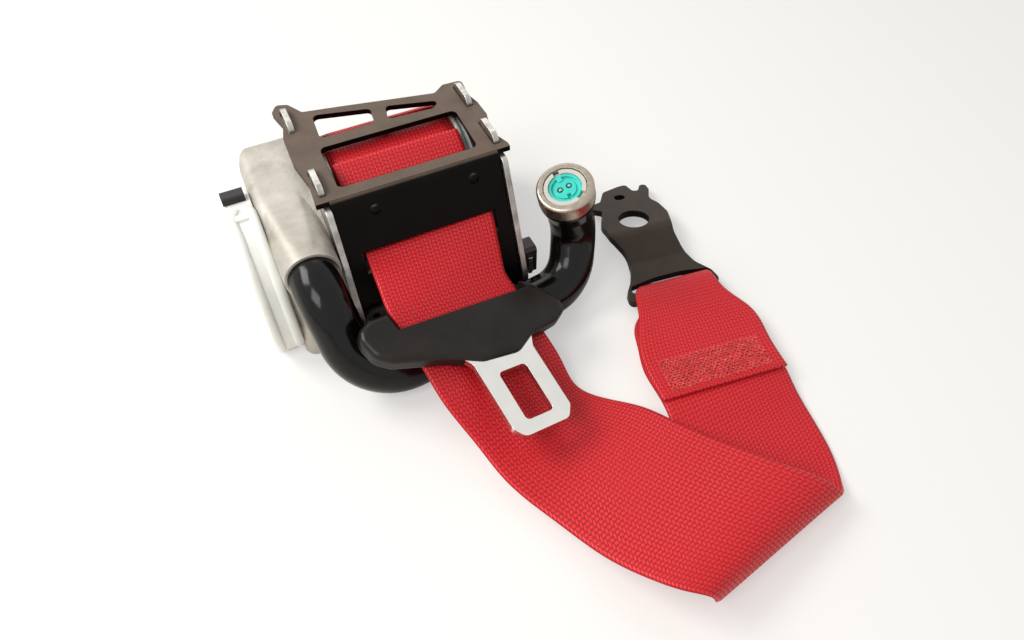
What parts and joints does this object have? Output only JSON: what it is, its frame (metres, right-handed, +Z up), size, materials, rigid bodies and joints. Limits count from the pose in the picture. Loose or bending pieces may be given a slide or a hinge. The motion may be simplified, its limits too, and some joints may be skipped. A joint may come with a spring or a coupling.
{
  "type": "seat belt",
  "caption": "Three-point seat belt lying coiled out: inertia reel with ball-driven pretensioner tube, red webbing, sliding tongue and sewn-on anchor plate.",
  "frame": {"origin": "centre of the reel's mounting bolt hole, on the underside of its back plate", "axes": "+Z up out of the back plate, which lies flat; X along the spool's axis with the pretensioner housing at -X; the webbing leaves towards -Y"},
  "size_m": [0.1669, 0.2325, 0.0613],
  "materials": {
    "galvanised": "zinc plated sheet",
    "black_steel": "black electrocoat, satin",
    "black_tube": "black, glossy",
    "black_plastic": "moulded, satin",
    "grey_plastic": "moulded",
    "cast_alloy": "die cast, blotchy",
    "steel": "ground",
    "spring_steel": "blued strip",
    "ring_steel": "turned, dark",
    "bright_chrome": "polished plating",
    "white_plastic": "moulded",
    "teal_plastic": "moulded",
    "webbing": "woven polyester",
    "stitching": "dense stitching"
  },
  "bodies": {
    "reel": {"base_frame": "galvanised", "guide_plate": "black_steel", "webbing_guide": "black_plastic", "guide_hook": "grey_plastic", "wall_clip": "black_plastic", "clip_tab": "galvanised", "left_bush": "white_plastic", "right_bush": "white_plastic", "pretensioner_housing": "cast_alloy", "pretensioner_tube": "black_tube", "generator_ring": "ring_steel", "gas_generator": "steel", "insulating_ring": "white_plastic", "connector_insert": "teal_plastic", "connector_pins": "steel", "drive_balls": "steel", "spring_cover": "white_plastic", "cover_latch": "black_plastic", "return_spring": "spring_steel", "pawl_pin": "steel", "lock_cover": "black_plastic", "sensor_housing": "black_plastic", "sensor_pin": "steel", "strap_exit": "webbing", "strap_run": "webbing", "strap_fold": "webbing", "strap_lap": "webbing", "anchor_loop": "webbing", "stitch_patch": "stitching"},
    "spool": {"spool": "cast_alloy", "torsion_bar": "steel", "webbing_roll": "webbing", "spool_disc": "teal_plastic", "drive_wheel": "cast_alloy", "spring_arbor": "black_plastic", "lock_wheel": "steel"},
    "pawl": {"lock_pawl": "steel"},
    "sensor_ball": {"sensor_ball": "steel"},
    "sensor_lever": {"sensor_lever": "black_plastic"},
    "tongue": {"tongue_grip": "black_plastic", "tongue_blade": "bright_chrome"},
    "anchor": {"anchor_plate": "black_steel"}
  },
  "joints": [
    {"name": "spool_spin", "type": "hinge", "parent": "reel", "child": "spool", "pos_m": [0, -0.037, 0.029], "axis": [1, 0, 0], "continuous": true},
    {"name": "pawl_swing", "type": "hinge", "parent": "reel", "child": "pawl", "pos_m": [0.0345, -0.0215, 0.012], "axis": [-1, 0, 0], "range_deg": [0, 7]},
    {"name": "ball_shift", "type": "slide", "parent": "reel", "child": "sensor_ball", "axis": [0, -1, 0], "range_m": [0, 0.0012]},
    {"name": "lever_tilt", "type": "hinge", "parent": "reel", "child": "sensor_lever", "pos_m": [0.044, -0.02475, 0.0204], "axis": [-1, 0, 0], "range_deg": [0, 11]},
    {"name": "tongue_slide", "type": "slide", "parent": "reel", "child": "tongue", "axis": [0.1702, -0.8711, -0.4606], "range_m": [0, 0.004]},
    {"name": "anchor_swing", "type": "hinge", "parent": "reel", "child": "anchor", "pos_m": [0.08314, -0.11196, 0.0044], "axis": [0.9915, -0.13, 0], "range_deg": [0, 45]}
  ],
  "couplings": [
    {"joint": "lever_tilt", "follows": "ball_shift", "rad_per_m": 156.25}
  ]
}
